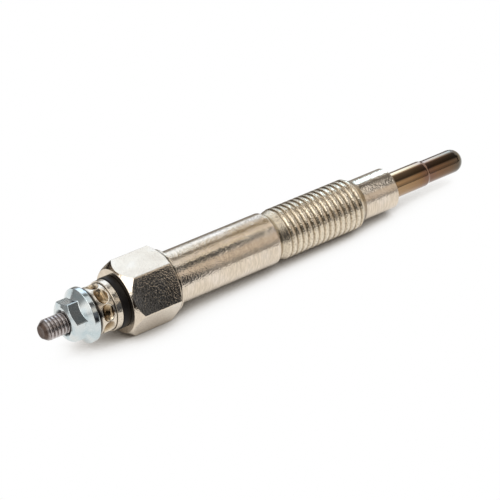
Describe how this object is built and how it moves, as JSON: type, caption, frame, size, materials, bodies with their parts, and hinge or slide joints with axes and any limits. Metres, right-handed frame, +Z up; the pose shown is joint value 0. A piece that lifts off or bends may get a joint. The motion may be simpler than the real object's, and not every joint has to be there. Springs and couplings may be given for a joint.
{
  "type": "diesel glow plug",
  "caption": "Diesel glow plug: hexagon body with plain shank, thread, sealing cone and slim sheathed heater tip, and a threaded terminal with flange nut, staked collar and insulating washer.",
  "frame": {"origin": "on the plug's axis at the front end of the full body thread, where the sealing cone begins", "axes": "+X along the axis toward the heating tip, +Z up, with a flat of the body's hexagon facing down"},
  "size_m": [0.0962, 0.0144, 0.0126],
  "materials": {
    "nickel_plated_steel": "warm nickel plate over turned steel",
    "heat_tinted_alloy": "nickel-chromium alloy with brown heat tint, darker at the tip",
    "coil_wire": "drawn resistance wire",
    "magnesia": "compacted powder",
    "seal_rubber": "moulded heat-resisting rubber",
    "bare_steel": "rolled thread, grey",
    "black_moulding": "satin black phenolic",
    "nickel_plated_collar": "warm nickel plate, staked",
    "zinc_plated_steel": "blue passivated zinc plate"
  },
  "bodies": {
    "root": {"body_shell": "nickel_plated_steel", "heater_sheath": "heat_tinted_alloy", "heating_coil": "coil_wire", "control_coil": "coil_wire", "magnesia_fill": "magnesia", "sheath_seal": "seal_rubber", "terminal_rod": "bare_steel", "sealing_ring": "seal_rubber", "insulating_washer": "black_moulding", "staked_collar": "nickel_plated_collar", "terminal_nut": "zinc_plated_steel"}
  },
  "joints": []
}
